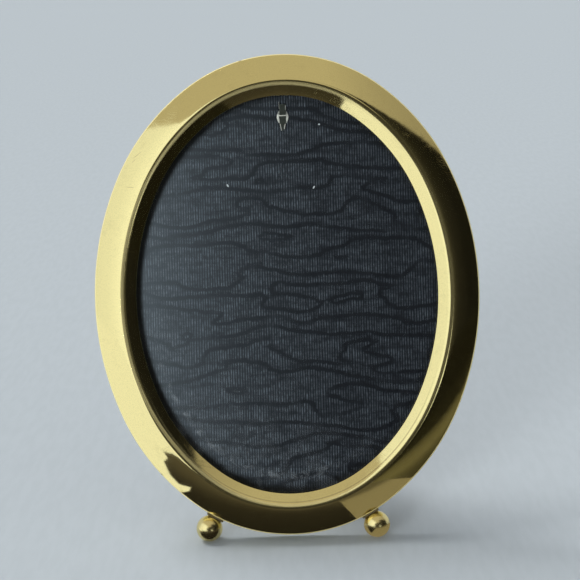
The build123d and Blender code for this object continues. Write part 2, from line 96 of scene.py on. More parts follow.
class Shade:  # a shader tree, or one output socket in it with the arithmetic that the finishes use
    def __init__(self, tree, socket=None):
        self.tree = tree
        self.socket = socket

    # Any node: its settings go in first, then values or links for its sockets
    def make(self, kind, settings=None, inputs=None, output=0):
        node = self.tree.nodes.new(kind)
        for name, value in (settings or {}).items():
            setattr(node, name, value)
        for name, value in (inputs or {}).items():
            if isinstance(value, Shade):
                self.tree.links.new(value.socket, node.inputs[name])
            else:
                socket = node.inputs[name]
                socket.default_value = (*value, 1) if socket.type == "RGBA" else value
        return Shade(self.tree, node.outputs[output] if node.outputs else None)

    def other(self, name):
        return Shade(self.tree, self.socket.node.outputs[name])

    def maths(self, operation, *values):
        return self.make("ShaderNodeMath", {"operation": operation}, dict(enumerate(values)))

    def wave(self):
        return self.maths("SINE", self)

    def __add__(self, value):
        return self.maths("ADD", self, value)

    def __sub__(self, value):
        return self.maths("SUBTRACT", self, value)

    def __mul__(self, value):
        return self.maths("MULTIPLY", self, value)

    def __truediv__(self, value):
        return self.maths("DIVIDE", self, value)

    def __pow__(self, value):
        return self.maths("POWER", self, value)

    def __rsub__(self, value):
        return self.maths("SUBTRACT", value, self)

    __radd__ = __add__

    def absolute(self):
        return self.maths("ABSOLUTE", self)

    def fraction(self):
        return self.maths("FRACT", self)

    def clamped(self):
        return self.make("ShaderNodeClamp", inputs={"Value": self})

    # 0 below low and 1 above high, or the other way round where low is the larger
    def step(self, low, high):
        return self.make(
            "ShaderNodeMapRange", {"interpolation_type": "SMOOTHSTEP"},
            {"Value": self, "From Min": low, "From Max": high},
        )

    # This share of the second colour over the first
    def mixed(self, first, second, blend="MIX"):
        settings = {"data_type": "RGBA", "blend_type": blend}
        return self.make("ShaderNodeMix", settings, {0: self, 6: first, 7: second}, 2)

    # A colour whose strength follows the stops
    def ramp(self, stops, tint):
        level = self.make("ShaderNodeValToRGB", inputs={"Fac": self})
        elements = level.socket.node.color_ramp.elements
        while len(elements) < len(stops):
            elements.new(0.5)
        for element, (position, strength) in zip(elements, stops):
            element.position = position
            element.color = (strength, strength, strength, 1)
        settings = {"data_type": "RGBA", "blend_type": "MULTIPLY"}
        return self.make("ShaderNodeMix", settings, {0: 1.0, 6: level, 7: tint}, 2)

    # The x of a vector, whose y and z are its other outputs
    def split(self):
        return self.make("ShaderNodeSeparateXYZ", inputs={"Vector": self})

    def dot(self, vector):
        return self.make("ShaderNodeVectorMath", {"operation": "DOT_PRODUCT"}, {0: self, 1: vector}, 1)

    def scaled(self, *factors):
        return self.make("ShaderNodeVectorMath", {"operation": "MULTIPLY"}, {0: self, 1: factors})

    def moved(self, *steps):
        return self.make("ShaderNodeVectorMath", {"operation": "ADD"}, {0: self, 1: steps})

    def noise(self, scale, detail=2.0, roughness=0.5, distortion=0.0):
        return self.make("ShaderNodeTexNoise", inputs={
            "Vector": self,
            "Scale": scale,
            "Detail": detail,
            "Roughness": roughness,
            "Distortion": distortion,
        })


def newMaterial(name):
    material = bpy.data.materials.new(name)
    material.use_nodes = True
    material.node_tree.nodes.clear()
    return material, Shade(material.node_tree)


# A material with object coordinates turned back into the millimetres of the drawing
def newFinish(name, place=placeFrame):
    material, shade = newMaterial(name)
    point = shade.make("ShaderNodeMapping", {"vector_type": "TEXTURE"}, {
        "Vector": shade.make("ShaderNodeTexCoord", output="Object"),
        "Location": place.to_translation(),
        "Rotation": place.to_euler(),
        "Scale": place.to_scale(),
    })
    return material, shade, point


def bump(shade, height, depth):
    return shade.make("ShaderNodeBump", inputs={"Height": height, "Distance": depth * mm, "Strength": 1.0})


def output(shade, shader):
    shade.make("ShaderNodeOutputMaterial", inputs={"Surface": shader})


# Ends a finish with a principled shader, its sockets given by name
def finished(material, shade, **sockets):
    named = {name.replace("_", " "): value for name, value in sockets.items()}
    output(shade, shade.make("ShaderNodeBsdfPrincipled", inputs=named))
    return material


# Metals and their tarnish, and how rough, scratched and wavy each is
metalColumns = (
    "colour", "tarnishColour", "tarnish", "roughness", "mottling", "scratch", "pitting", "waviness",
)
metalFinishes = {
    "polishedBrass": ((0.88, 0.75, 0.34), (0.34, 0.26, 0.12), 0.12, 0.08, 0.02, 0.004, 0.003, 0.012),
    "ballBrass": ((0.88, 0.74, 0.34), (0.30, 0.22, 0.10), 0.25, 0.22, 0.08, 0.003, 0.003, 0.006),
    "ringBrass": ((0.66, 0.54, 0.27), (0.22, 0.16, 0.08), 0.55, 0.30, 0.14, 0.006, 0.006, 0.015),
    "buttonBrass": ((0.80, 0.67, 0.34), (0.26, 0.19, 0.09), 0.40, 0.24, 0.10, 0.006, 0.004, 0.006),
    "darkBrass": ((0.34, 0.28, 0.16), (0.07, 0.055, 0.03), 0.75, 0.38, 0.15, 0.004, 0.008, 0.004),
    "hingeMetal": ((0.72, 0.62, 0.36), (0.24, 0.19, 0.11), 0.45, 0.28, 0.12, 0.006, 0.005, 0.004),
    "clipMetal": ((0.74, 0.71, 0.64), (0.24, 0.21, 0.17), 0.45, 0.24, 0.12, 0.005, 0.005, 0.002),
    "dullClip": ((0.15, 0.17, 0.15), (0.04, 0.045, 0.04), 0.75, 0.30, 0.15, 0.004, 0.008, 0.002),
    "wornNickel": ((0.80, 0.78, 0.70), (0.17, 0.18, 0.17), 0.80, 0.42, 0.15, 0.004, 0.006, 0.002),
    "brightSteel": ((0.66, 0.66, 0.65), (0.24, 0.22, 0.20), 0.35, 0.26, 0.10, 0.005, 0.004, 0.002),
}
nickelWear = {"metallic": 0.35, "dullAbove": (73.4, 74.4)}
# Wear of the polished front. Places are offsets from the sight edge. Each width gives where the wear
# ends and where it is full
frontWear = {
    "ridge": 5.55,
    "ridgeWidth": (0.90, 0.45),
    "ridgeShift": 1.05,  # how much further in the ridge is worn at the top and bottom
    "endsFrom": (25, 65),
    "rubbedRight": 0.80,  # how much less it is worn on the right
    "seam": 3.35,
    "seamWidth": (0.38, 0.14),
    "seamBelow": (-30, -65),
    "rim": (16.8, 17.0),
    "rimHeight": (5.2, 5.5),
    # Nicks and scratches: place, half length, half width and angle
    "marks": (
        (-17.0, 96.1, 1.2, 0.34, 35), (-53.9, -72.4, 1.3, 0.34, -12), (-59.8, 58.5, 2.5, 0.11, 37),
        (-63.0, 45.3, 2.1, 0.11, -6), (-61.3, 56.1, 1.3, 0.09, 42), (59.0, -43.5, 2.6, 0.14, 66),
    ),
}


# The ridge is worn dull in broken lines, with a dark seam inside it at the bottom, and the rim is worn pale
def wornPlaces(shade, point):
    wear = frontWear
    offset = shade.make("ShaderNodeAttribute", {"attribute_name": "offset"}, output="Fac")
    x = point.split()
    y = x.other("Y")
    lines = (offset * 2.6 + point.noise(0.10, 2) * 3.0).noise(2.2, 2, 0.6).step(0.35, 0.62)
    ends = y.absolute().step(*wear["endsFrom"])
    ridge = (offset - wear["ridge"] + ends * wear["ridgeShift"]).absolute().step(*wear["ridgeWidth"])
    ridge = ridge * (lines * 0.6 + 0.4) * (1 - x.step(5, 45) * wear["rubbedRight"])
    broken = point.noise(0.5, 3, 0.7).step(0.25, 0.45)
    seam = (offset - wear["seam"]).absolute().step(*wear["seamWidth"]) * broken * y.step(*wear["seamBelow"])
    rim = offset.step(*wear["rim"]) * x.other("Z").step(*wear["rimHeight"])
    marks = sum(spot(point, *mark) for mark in wear["marks"]).clamped()
    return ridge, seam, rim, marks


def metalFinish(name):
    finish = dict(zip(metalColumns, metalFinishes[name]))
    material, shade, point = newFinish(name)
    cloudy = point.noise(0.045, 3)
    blotches = point.noise(0.16, 5, 0.65)
    specks = point.noise(2.4, 2)
    tarnished = (blotches * 0.75 + cloudy * 0.25).step(0.52, 0.74)
    tarnished = (tarnished + specks.step(0.66, 0.76) * 0.5).clamped()
    directions = ((18, 0.9), (-37, 1.3), (74, 1.1))
    scratches = sum(scratchLines(point, angle, spacing) for angle, spacing in directions)
    relief = scratches * (-finish["scratch"]) + specks * finish["pitting"]
    relief = relief + cloudy * (finish["waviness"] * 12)
    dulled = tarnished * finish["tarnish"]
    roughness = blotches * finish["mottling"] + tarnished * finish["mottling"] + (finish["roughness"] - 0.03)
    metallic = 1.0
    if name == "wornNickel":
        dulled = dulled + point.split().other("Y").step(*nickelWear["dullAbove"]) * 0.7
        metallic = nickelWear["metallic"]
    if name == "polishedBrass":
        ridge, seam, rim, marks = wornPlaces(shade, point)
        grain = point.noise(2.3, 3, 0.8).step(0.42, 0.72)
        dulled = dulled + ridge * 0.30 + seam * 0.45 + marks * 0.65 + grain * 0.12
        roughness = roughness + ridge * 0.16 + marks * 0.30 + rim * 0.30 + grain * 0.04
        metallic = 1 - (ridge * 0.38 + rim * 0.60 + seam * 0.12 + grain * 0.022).clamped()
    return finished(
        material, shade,
        Metallic=metallic,
        Base_Color=dulled.clamped().mixed(finish["colour"], finish["tarnishColour"]),
        Roughness=roughness,
        Normal=bump(shade, relief, 1.0),
    )


# A small spot or stroke: its place, half length, half width and angle
def spot(point, x, y, length, width, angle):
    turned = point.make("ShaderNodeMapping", {"vector_type": "TEXTURE"}, {
        "Vector": point,
        "Location": (x, y, 0),
        "Rotation": (0, 0, radians(angle)),
        "Scale": (length, width, 1e6),  # at any depth
    })
    return turned.make("ShaderNodeVectorMath", {"operation": "LENGTH"}, {0: turned}, 1).step(1.1, 0.6)


# Fine straight scratches along one direction, broken up so that only a few show
def scratchLines(point, angle, spacing):
    turned = point.make("ShaderNodeMapping", inputs={"Vector": point, "Rotation": (0, 0, radians(angle))})
    lines = turned.scaled(0.06, 1.6 / spacing, 0.3).noise(1.0, 1)
    patches = turned.noise(0.11, 1)
    return (lines - 0.5).absolute().step(0.012, 0.0) * patches.step(0.52, 0.66)


liningFinish = {
    "dark": (0.0030, 0.0042, 0.0075),
    "light": (0.194, 0.227, 0.267),
    "paintedSheen": (0.080, 0.092, 0.102),  # painted sheen, light added towards the left edge
    # Painted shadow colour of the bezel's lip
    "paintedLipShadow": (0.002, 0.002, 0.002),
    "lintColour": (0.55, 0.57, 0.58),
    "ribPitch": 1.03,
    "markSpacing": 8.6,
    "markWander": 4.3,
    "markRipple": 0.75,
    "markWidth": 1.35,
    "relief": 0.05,
    "lint": ((-23.3, 45.3, 0.75, 0.35, -60), (14.9, 69.5, 0.42, 0.38, 0), (12.1, 43.7, 0.75, 0.33, 60)),
}


# How far out a place is, as a share of the way from the middle to the sight edge
def sightShare(x, y):
    return ((x / oval["halfWidth"]) ** 2 + (y / oval["halfHeight"]) ** 2) ** 0.5


# The height whose level lines the watermark follows: a slope that wanders enough to close some loops
def watermarkHeight(point):
    finish = liningFinish
    wander = point.scaled(0.026, 0.080, 0).noise(1.0, 1, 0.4)
    ripple = point.scaled(0.07, 0.11, 0).noise(1.0, 2, 0.5)
    y = point.split().other("Y")
    return y / finish["markSpacing"] + wander * finish["markWander"] + ripple * finish["markRipple"]


def moireFinish():
    finish = liningFinish
    material, shade, point = newFinish("moireLining")
    x = point.split()
    y = x.other("Y")
    wobble = point.scaled(0.22, 0.045, 0).noise(1.0, 2)
    ribs = ((x + wobble * 0.8) * (2 * pi / finish["ribPitch"])).wave() * 0.5 + 0.5
    streaks = point.scaled(0.97, 0.34, 0).noise(1.0, 3, 0.7).step(0.30, 0.68)
    grain = point.scaled(1.5, 1.1, 0).noise(1.0, 2, 0.7).step(0.30, 0.72)
    flecks = point.scaled(0.9, 0.9, 0).noise(1.0, 1).step(0.66, 0.80)
    # The marks keep one width: their distance in height is divided by how steep the height is there
    step = 0.5
    height = watermarkHeight(point)
    steepX = (watermarkHeight(point.moved(step, 0, 0)) - height) / step
    steepY = (watermarkHeight(point.moved(0, step, 0)) - height) / step
    steepness = (steepX**2 + steepY**2 + 0.0004) ** 0.5
    distance = (height.fraction() - 0.5).absolute() / steepness
    strength = point.scaled(0.05, 0.13, 0).noise(1.0, 2).step(0.26, 0.48)
    edge = point.noise(0.9, 3, 0.6).step(0.2, 0.8) * 0.9
    marks = (distance + edge - 0.45).step(finish["markWidth"], finish["markWidth"] * 0.3)
    marks = marks * (strength * 0.6 + 0.4)
    # Between the marks the ribs catch the light, unevenly in wide soft ripples
    ripples = point.scaled(0.10, 0.42, 0).noise(1.0, 3, 0.6).step(0.30, 0.66)
    lit = (ribs**2.2 * 0.95 + 0.03) * (streaks * 0.90 + 0.10) * 0.66 + grain * 0.04 + flecks * 0.10
    # Painted shade: the lit ribs are darkened by up to 30 percent towards the right
    lit = lit * (ripples * 0.80 + 0.20) * (1 - marks * 0.98) * (1 - x.step(-15, 50) * 0.30)
    # Painted sheen: light added to the lining's colour, growing towards the left edge
    paintedSheenShare = (x / (-2 * oval["halfWidth"]) + 0.5).clamped() ** 3.6
    woven = lit.clamped().mixed(finish["dark"], finish["light"])
    woven = paintedSheenShare.mixed(woven, finish["paintedSheen"], "ADD")
    # Painted shadow of the bezel's lip: a dark band along the sight edge, strongest on the left and lower left
    paintedLipShadow = sightShare(x, y).step(0.950, 0.992) * ((x * -1.0 + y * -0.3).step(-20, 30) * 0.65 + 0.30)
    woven = paintedLipShadow.mixed(woven, finish["paintedLipShadow"])
    lint = sum(spot(point, *bit) for bit in finish["lint"])
    return finished(
        material, shade,
        Base_Color=lint.clamped().mixed(woven, finish["lintColour"]),
        Roughness=0.66 - lit.clamped() * 0.16,
        Specular_IOR_Level=0.3,
        Sheen_Weight=0.08,
        Sheen_Roughness=0.45,
        Normal=bump(shade, ribs * 0.7 + grain * 0.4, finish["relief"]),
    )


clothFinish = {
    "colour": (0.020, 0.020, 0.026),
    "worn": (0.060, 0.060, 0.070),
    "threadPitch": 0.42,
    "relief": 0.04,
}


def backClothFinish(name, place=placeFrame):
    finish = clothFinish
    material, shade, point = newFinish(name, place)
    x = point.split()
    turns = 2 * pi / finish["threadPitch"]
    warp = ((x + point.noise(0.5, 1) * 0.3) * turns).wave()
    weft = ((x.other("Y") + point.noise(0.6, 1) * 0.3) * turns).wave()
    weave = warp * weft * 0.5 + 0.5
    nap = point.noise(3.0, 3, 0.6)
    rubbed = point.noise(0.07, 4, 0.6).step(0.50, 0.72)
    lint = point.scaled(1.2, 0.5, 1.2).noise(1.0, 1).step(0.74, 0.78)
    shown = (weave * 0.3 + nap * 0.35 + rubbed * 0.35 + lint * 0.9).clamped()
    return finished(
        material, shade,
        Base_Color=shown.mixed(finish["colour"], finish["worn"]),
        Roughness=0.92 - rubbed * 0.12,
        Specular_IOR_Level=0.25,
        Sheen_Weight=0.25,
        Sheen_Roughness=0.5,
        Normal=bump(shade, weave * 0.5 + nap * 0.8, finish["relief"]),
    )


cardFinish = {"colour": (0.30, 0.235, 0.16), "dark": (0.13, 0.10, 0.07), "layer": 0.45, "relief": 0.06}


# Grey-brown card, with the layers that a cut edge shows
def cardboardFinish(name, place=placeFrame):
    finish = cardFinish
    material, shade, point = newFinish(name, place)
    layers = point.scaled(0.15, 0.15, 1 / finish["layer"]).noise(1.0, 3)
    fibres = point.scaled(0.9, 0.9, 6.0).noise(1.0, 3, 0.7)
    shown = (layers.step(0.35, 0.65) * 0.6 + fibres * 0.5).clamped()
    return finished(
        material, shade,
        Base_Color=shown.mixed(finish["dark"], finish["colour"]),
        Roughness=0.85,
        Specular_IOR_Level=0.3,
        Normal=bump(shade, layers + fibres, finish["relief"]),
    )


glassFinish = {
    "tint": (0.985, 0.995, 0.99),
    "shine": (0.62, 0.62, 0.62),
    "straight": 0.029,
    "roughness": 0.012,
    "film": 0.003,
    "scuffs": 0.11,
    "dust": (0.54, 0.59, 0.62),
    "scratch": (-25.7, -67.0, 8.5, 0.13, -36),
}


# Clear glass as a see-through pane with its reflection, with a faint film and scuffs low on the left
def glassPaneFinish():
    finish = glassFinish
    material, shade, point = newFinish("clearGlass")
    x = point.split()
    y = x.other("Y")
    lowLeft = (x * -0.50 - y * 0.86).step(25.0, 75.0)
    smears = point.noise(0.10, 4, 0.6, 0.8).step(0.42, 0.74)
    scuffs = (sightShare(x, y) - 0.915).absolute().step(0.030, 0.0)
    scuffs = scuffs * point.noise(0.30, 3, 0.7).step(0.48, 0.66)
    haze = smears * finish["film"] + lowLeft * (scuffs + smears * 0.25) * finish["scuffs"]
    haze = (haze + spot(point, *finish["scratch"]) * 0.06).clamped()
    clear = shade.make("ShaderNodeBsdfTransparent", inputs={"Color": finish["tint"]})
    shineSockets = {"Color": finish["shine"], "Roughness": finish["roughness"]}
    shine = shade.make("ShaderNodeBsdfGlossy", inputs=shineSockets)
    dust = shade.make("ShaderNodeBsdfDiffuse", inputs={"Color": finish["dust"]})
    # The same on both faces, because rays go straight through the pane and never turn inside it
    tilt = shade.make("ShaderNodeLayerWeight", inputs={"Blend": 0.5}, output="Facing")
    mirrored = tilt**5 * (1 - finish["straight"]) + finish["straight"]
    pane = shade.make("ShaderNodeMixShader", inputs={0: mirrored, 1: clear, 2: shine})
    output(shade, shade.make("ShaderNodeMixShader", inputs={0: haze, 1: pane, 2: dust}))
    return material


ribbonFinish = {
    "colour": (0.016, 0.016, 0.022),
    "light": (0.085, 0.085, 0.10),
    "pitch": 0.55,
    "relief": 0.05,
}


# A woven ribbon: ribs across it, which follow its length along the strip's own UV
def ribbonWeaveFinish():
    finish = ribbonFinish
    material, shade = newMaterial("stayRibbon")
    strip = shade.make("ShaderNodeTexCoord", output="UV")
    along = strip.split()
    ribs = (along * (2 * pi / finish["pitch"])).wave() * 0.5 + 0.5
    threads = strip.scaled(0.5, 5.0, 1).noise(1.0, 2)
    selvedge = (along.other("Y") - 0.5).absolute().step(0.42, 0.48)
    shown = (ribs * 0.6 + threads * 0.5 - 0.2 + selvedge * 0.25).clamped()
    return finished(
        material, shade,
        Base_Color=shown.mixed(finish["colour"], finish["light"]),
        Roughness=0.7 - shown * 0.15,
        Sheen_Weight=0.3,
        Sheen_Roughness=0.4,
        Normal=bump(shade, ribs + threads * 0.5, finish["relief"]),
    )


print("finishes")
materials = {
    "polished_brass": metalFinish("polishedBrass"),
    "ball_brass": metalFinish("ballBrass"),
    "ring_brass": metalFinish("ringBrass"),
    "button_brass": metalFinish("buttonBrass"),
    "rivet_brass": metalFinish("buttonBrass"),
    "dark_brass": metalFinish("darkBrass"),
    "hinge_metal": metalFinish("hingeMetal"),
    "clip_metal": metalFinish("clipMetal"),
    "steel": metalFinish("brightSteel"),
    "moire": moireFinish(),
    "back_cloth": backClothFinish("backCloth"),
    "board": cardboardFinish("backBoard"),
    "glass": glassPaneFinish(),
    "ribbon": ribbonWeaveFinish(),
}
nickelRims = metalFinish("wornNickel")
dullClip = metalFinish("dullClip")
legCloth = backClothFinish("legCloth", placeLeg)
legCard = cardboardFinish("legBoard", placeLeg)


# Drawing helpers

# Arcs of the sight oval anticlockwise from the right side: centre, radius, start angle and sweep
def ovalArcs():
    first = radians(oval["sideAngle"])
    last = radians(oval["shoulderAngle"])
    halfWidth = oval["halfWidth"]
    halfHeight = oval["halfHeight"]
    side = oval["sideShare"] * halfHeight**2 / halfWidth
    # The shoulder and top radii make the arcs meet in a common tangent and pass through the top
    m11, m12 = cos(last) - cos(first), -cos(last)
    m21, m22 = sin(last) - sin(first), 1 - sin(last)
    right, up = side * (1 - cos(first)) - halfWidth, halfHeight - side * sin(first)
    determinant = m11 * m22 - m12 * m21
    shoulder = (right * m22 - m12 * up) / determinant
    top = (m11 * up - m21 * right) / determinant
    shoulderX = halfWidth - side + (side - shoulder) * cos(first)
    shoulderY = (side - shoulder) * sin(first)
    turn = oval["shoulderAngle"] - oval["sideAngle"]
    half = (
        (shoulderX, shoulderY, shoulder, oval["sideAngle"], turn),
        (0, halfHeight - top, top, oval["shoulderAngle"], 180 - 2 * oval["shoulderAngle"]),
        (-shoulderX, shoulderY, shoulder, 180 - oval["shoulderAngle"], turn),
        (side - halfWidth, 0, side, 180 - oval["sideAngle"], 2 * oval["sideAngle"]),
    )
    return [*half, *((-x, -y, radius, start + 180, sweep) for x, y, radius, start, sweep in half)]


# The point of the oval at an offset where its outward normal has the given angle
def ovalPoint(normalAngle, offset):
    for x, y, radius, start, sweep in ovalArcs():
        if (normalAngle - start) % 360 <= sweep:
            normal = Vector((cos(radians(normalAngle)), sin(radians(normalAngle)), 0))
            return Vector((x, y, 0)) + normal * (radius + offset)


# The items of one kind that an operator returns
def only(kind, items):
    return [item for item in items if isinstance(item, kind)]


def faceOutwards(bm):
    bmesh.ops.recalc_face_normals(bm, faces=bm.faces)


# Rounds a corner of an outline, as far as its two edges allow
def roundCorner(bm, vert, radius):
    one, two = [edge.other_vert(vert).co - vert.co for edge in vert.link_edges]
    reach = min(radius / tan(one.angle(two) / 2), 0.9 * min(one.length, two.length))
    bmesh.ops.bevel(
        bm, geom=[vert], offset=reach, offset_type="OFFSET", affect="VERTICES",
        segments=8, profile=0.5, material=-1,
    )


# Cuts off what lies beyond a plane and closes the hole
def cutBeyond(bm, point, normal):
    everything = bm.verts[:] + bm.edges[:] + bm.faces[:]
    bmesh.ops.bisect_plane(bm, geom=everything, plane_co=point, plane_no=normal, clear_outer=True)
    bmesh.ops.holes_fill(bm, edges=[edge for edge in bm.edges if edge.is_boundary])
    faceOutwards(bm)


def thicken(bm, depth):
    raised = bmesh.ops.extrude_face_region(bm, geom=bm.faces[:])["geom"]
    bmesh.ops.translate(bm, verts=only(bmesh.types.BMVert, raised), vec=(0, 0, depth))
    faceOutwards(bm)


# Rounds every edge that turns by more than 60 degrees
def softenEdges(bm, radius, segments=2):
    edges = [edge for edge in bm.edges if edge.is_manifold and edge.calc_face_angle() > radians(60)]
    bmesh.ops.bevel(
        bm, geom=edges, offset=radius, affect="EDGES", segments=segments, profile=0.5, material=-1,
        clamp_overlap=True,
    )


# Turns a section, drawn where y is 0 with x outwards, about the z axis
def spinSection(bm, geometry, steps):
    bmesh.ops.spin(
        bm, geom=geometry, cent=(0, 0, 0), axis=(0, 0, 1), angle=2 * pi, steps=steps, use_merge=True,
    )
    bmesh.ops.remove_doubles(bm, verts=bm.verts, dist=0.0005)
    faceOutwards(bm)


# Runs a section round the whole oval, arc by arc. It is drawn as offset and height
def sweepOval(bm, points, closed, degreesPerStep):
    arcs = ovalArcs()
    offsets = bm.verts.layers.float.new("offset")
    x, y, radius, start, sweep = arcs[0]
    turn = Matrix.Translation((x, y, 0)) @ Matrix.Rotation(radians(start), 4, "Z")
    verts = []
    for offset, height in points:
        vert = bm.verts.new(turn @ Vector((radius + offset, 0, height)))
        vert[offsets] = offset
        verts.append(vert)
    pairs = zip(verts, verts[1:] + verts[:1]) if closed else zip(verts, verts[1:])
    last = verts + [bm.edges.new(pair) for pair in pairs]
    for x, y, radius, start, sweep in arcs:
        steps = round(sweep / degreesPerStep)
        last = bmesh.ops.spin(
            bm, geom=last, cent=(x, y, 0), axis=(0, 0, 1), angle=radians(sweep), steps=steps,
        )["geom_last"]
    bmesh.ops.remove_doubles(bm, verts=bm.verts, dist=0.002)
    faceOutwards(bm)


def addObject(name, data):
    made = bpy.data.objects.new(name, data)
    bpy.context.scene.collection.objects.link(made)
    return made


def addMesh(name, bm, material):
    mesh = bpy.data.meshes.new(name)
    bm.to_mesh(mesh)
    bm.free()
    mesh.materials.append(material)
    return addObject(name, mesh)


# Finishes a mesh: smooth faces, sharp creases, its place, body, material and the nodes it stands for
def addPiece(name, bm, slot, replaces=(), body="frame", place=placeFrame, material=None, crease=35):
    for face in bm.faces:
        face.smooth = len(face.verts) < 9  # flat caps stay flat
    for edge in bm.edges:
        if edge.is_manifold and edge.calc_face_angle() > radians(crease):
            edge.smooth = False
    bm.transform(place)
    piece = addMesh(name, bm, material or materials[slot])
    if body:
        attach(piece, body)
    if replaces:
        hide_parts(*replaces)
    return piece


# Pressed brass front

bezel = {
    "thickness": 0.8,
    "wallHeight": 6.0,
    "ridgeInset": 5.1,
    "ridgeHeight": 12.3,
    "sightHeight": 8.6,
    "crown": 0.55,
    "crownSteps": 10,
    "ridgeRadius": 3.0,
    "shoulderRadius": 1.0,
    "edgeRadius": 0.16,
    "degreesPerStep": 1.0,
}


# The skin from the sight edge over the ridge and the shoulder to the rear edge, as offset and height
def bezelSkin():
    size = bezel
    scratch = bmesh.new()
    run = oval["band"] - size["ridgeInset"]
    drop = size["ridgeHeight"] - size["wallHeight"]
    crown = []
    for i in range(2, size["crownSteps"]):  # the first step is left to the ridge's rounding
        share = i / size["crownSteps"]
        bulge = 4 * size["crown"] * share * (1 - share)
        crown.append((size["ridgeInset"] + run * share, size["ridgeHeight"] - drop * share + bulge))
    outline = [(0, size["sightHeight"]), (size["ridgeInset"], size["ridgeHeight"])] + crown
    outline += [(oval["band"], size["wallHeight"]), (oval["band"], 0)]
    verts = [scratch.verts.new((offset, 0, height)) for offset, height in outline]
    for pair in zip(verts, verts[1:]):
        scratch.edges.new(pair)
    roundCorner(scratch, verts[1], size["ridgeRadius"])
    roundCorner(scratch, verts[-2], size["shoulderRadius"])
    # The rounded outline is read off from the sight edge to the rear edge
    scratch.verts.ensure_lookup_table()
    here = min(scratch.verts, key=lambda vert: vert.co.x)
    seen = set()
    points = []
    while here:
        seen.add(here)
        points.append((here.co.x, here.co.z))
        nearby = [edge.other_vert(here) for edge in here.link_edges]
        here = next((vert for vert in nearby if vert not in seen), None)
    scratch.free()
    return points


def makeBezel():
    bm = bmesh.new()
    sweepOval(bm, bezelSkin(), False, bezel["degreesPerStep"])
    top = max(bm.faces, key=lambda face: face.calc_center_median().z)
    if top.normal.z < 0:
        bmesh.ops.reverse_faces(bm, faces=bm.faces)
    bmesh.ops.solidify(bm, geom=bm.faces[:], thickness=bezel["thickness"])
    softenEdges(bm, bezel["edgeRadius"])
    addPiece("brass_front", bm, "polished_brass", ["front_bezel"], crease=20)


print("brass front")
makeBezel()


# Flat oval plates and the ring that holds them

ring = {
    "inner": 2.4,
    "outer": 16.55,
    "rear": 2.252,
    "front": 9.103,
    "thickness": 0.8,
    "edgeRadius": 0.14,
    "degreesPerStep": 2.0,
}
plates = {"offset": 2.1, "degreesPerStep": 2.0, "glassEdge": 0.3, "clothEdge": 0.08}


# An angle section: a flange across the back and a wall round the glass
def makeRearRing():
    size = ring
    inner, outer, rear, front = size["inner"], size["outer"], size["rear"], size["front"]
    wall = inner + size["thickness"]
    flange = rear + size["thickness"]
    section = ((inner, rear), (outer, rear), (outer, flange), (wall, flange), (wall, front), (inner, front))
    bm = bmesh.new()
    sweepOval(bm, section, True, size["degreesPerStep"])
    softenEdges(bm, size["edgeRadius"])
    addPiece("inner_ring", bm, "ring_brass", ["rear_ring"])


# A flat oval plate between two heights
def ovalPlate(rear, front, edge):
    bm = bmesh.new()
    sweepOval(bm, [(plates["offset"], rear)], False, plates["degreesPerStep"])
    bmesh.ops.edgeloop_fill(bm, edges=bm.edges[:])
    thicken(bm, front - rear)
    softenEdges(bm, edge)
    return bm


def makePlates():
    glass = ovalPlate(heights["glassRear"], heights["glassFront"], plates["glassEdge"])
    addPiece("glass", glass, "glass", ["glass_pane"])
    lining = ovalPlate(heights["boardFront"], heights["liningFront"], plates["clothEdge"])
    piece = addPiece("moire_silk", lining, "moire", ["moire_lining"])
    cover = ovalPlate(heights["coverRear"], heights["boardRear"], plates["clothEdge"])
    piece = addPiece("back_cloth", cover, "back_cloth", ["back_cover"])


print("ring and plates")
makeRearRing()
makePlates()


# Turn buttons and their rivets

button = {
    "angles": {"top_right": 40, "top_left": 140, "bottom_left": 220, "bottom_right": 320},
    "inset": 8.9,
    "pivotRadius": 3.2,
    "tipRadius": 2.0,
    "reach": 8.4,
    "rear": 1.152,
    "thickness": 0.8,
    "edgeRadius": 0.22,
    "rivetHeight": 1.102,
}
# Radii and lengths of a headed rivet: its dome, its shank and the end spread on the other side
buttonRivet = {"head": 2.3, "dome": 0.7, "shank": 1.15, "length": 1.95, "tail": 1.9, "tailHeight": 0.6}
backRivet = {"head": 2.0, "dome": 0.7, "shank": 1.05, "length": 2.6, "tail": 2.0, "tailHeight": 0.7}
legRivet = {"head": 2.0, "dome": 0.7, "shank": 1.05, "length": 3.8, "tail": 2.0, "tailHeight": 0.35}
tack = {"head": 2.1, "dome": 0.5, "shank": 0.55, "length": 2.6, "tail": 0.0, "tailHeight": 0.0}
rivetEdge = 0.1


# A disc round a pivot that narrows to a smaller round tip along x
def makeButton(place):
    bm = bmesh.new()
    size = button
    depth = size["thickness"]
    for radius, reach in ((size["pivotRadius"], 0), (size["tipRadius"], size["reach"])):
        bmesh.ops.create_cone(
            bm, cap_ends=True, segments=40, radius1=radius, radius2=radius, depth=depth,
            matrix=Matrix.Translation((reach, 0, depth / 2)),
        )
    bmesh.ops.delete(bm, geom=bm.edges[:], context="EDGES_FACES")
    bmesh.ops.convex_hull(bm, input=bm.verts[:])
    loose = [vert for vert in bm.verts if not vert.link_faces]
    bmesh.ops.delete(bm, geom=loose, context="VERTS")
    bmesh.ops.dissolve_limit(bm, angle_limit=radians(1), verts=bm.verts[:], edges=bm.edges[:])
    faceOutwards(bm)
    softenEdges(bm, size["edgeRadius"], 3)
    bm.transform(place)
    return bm


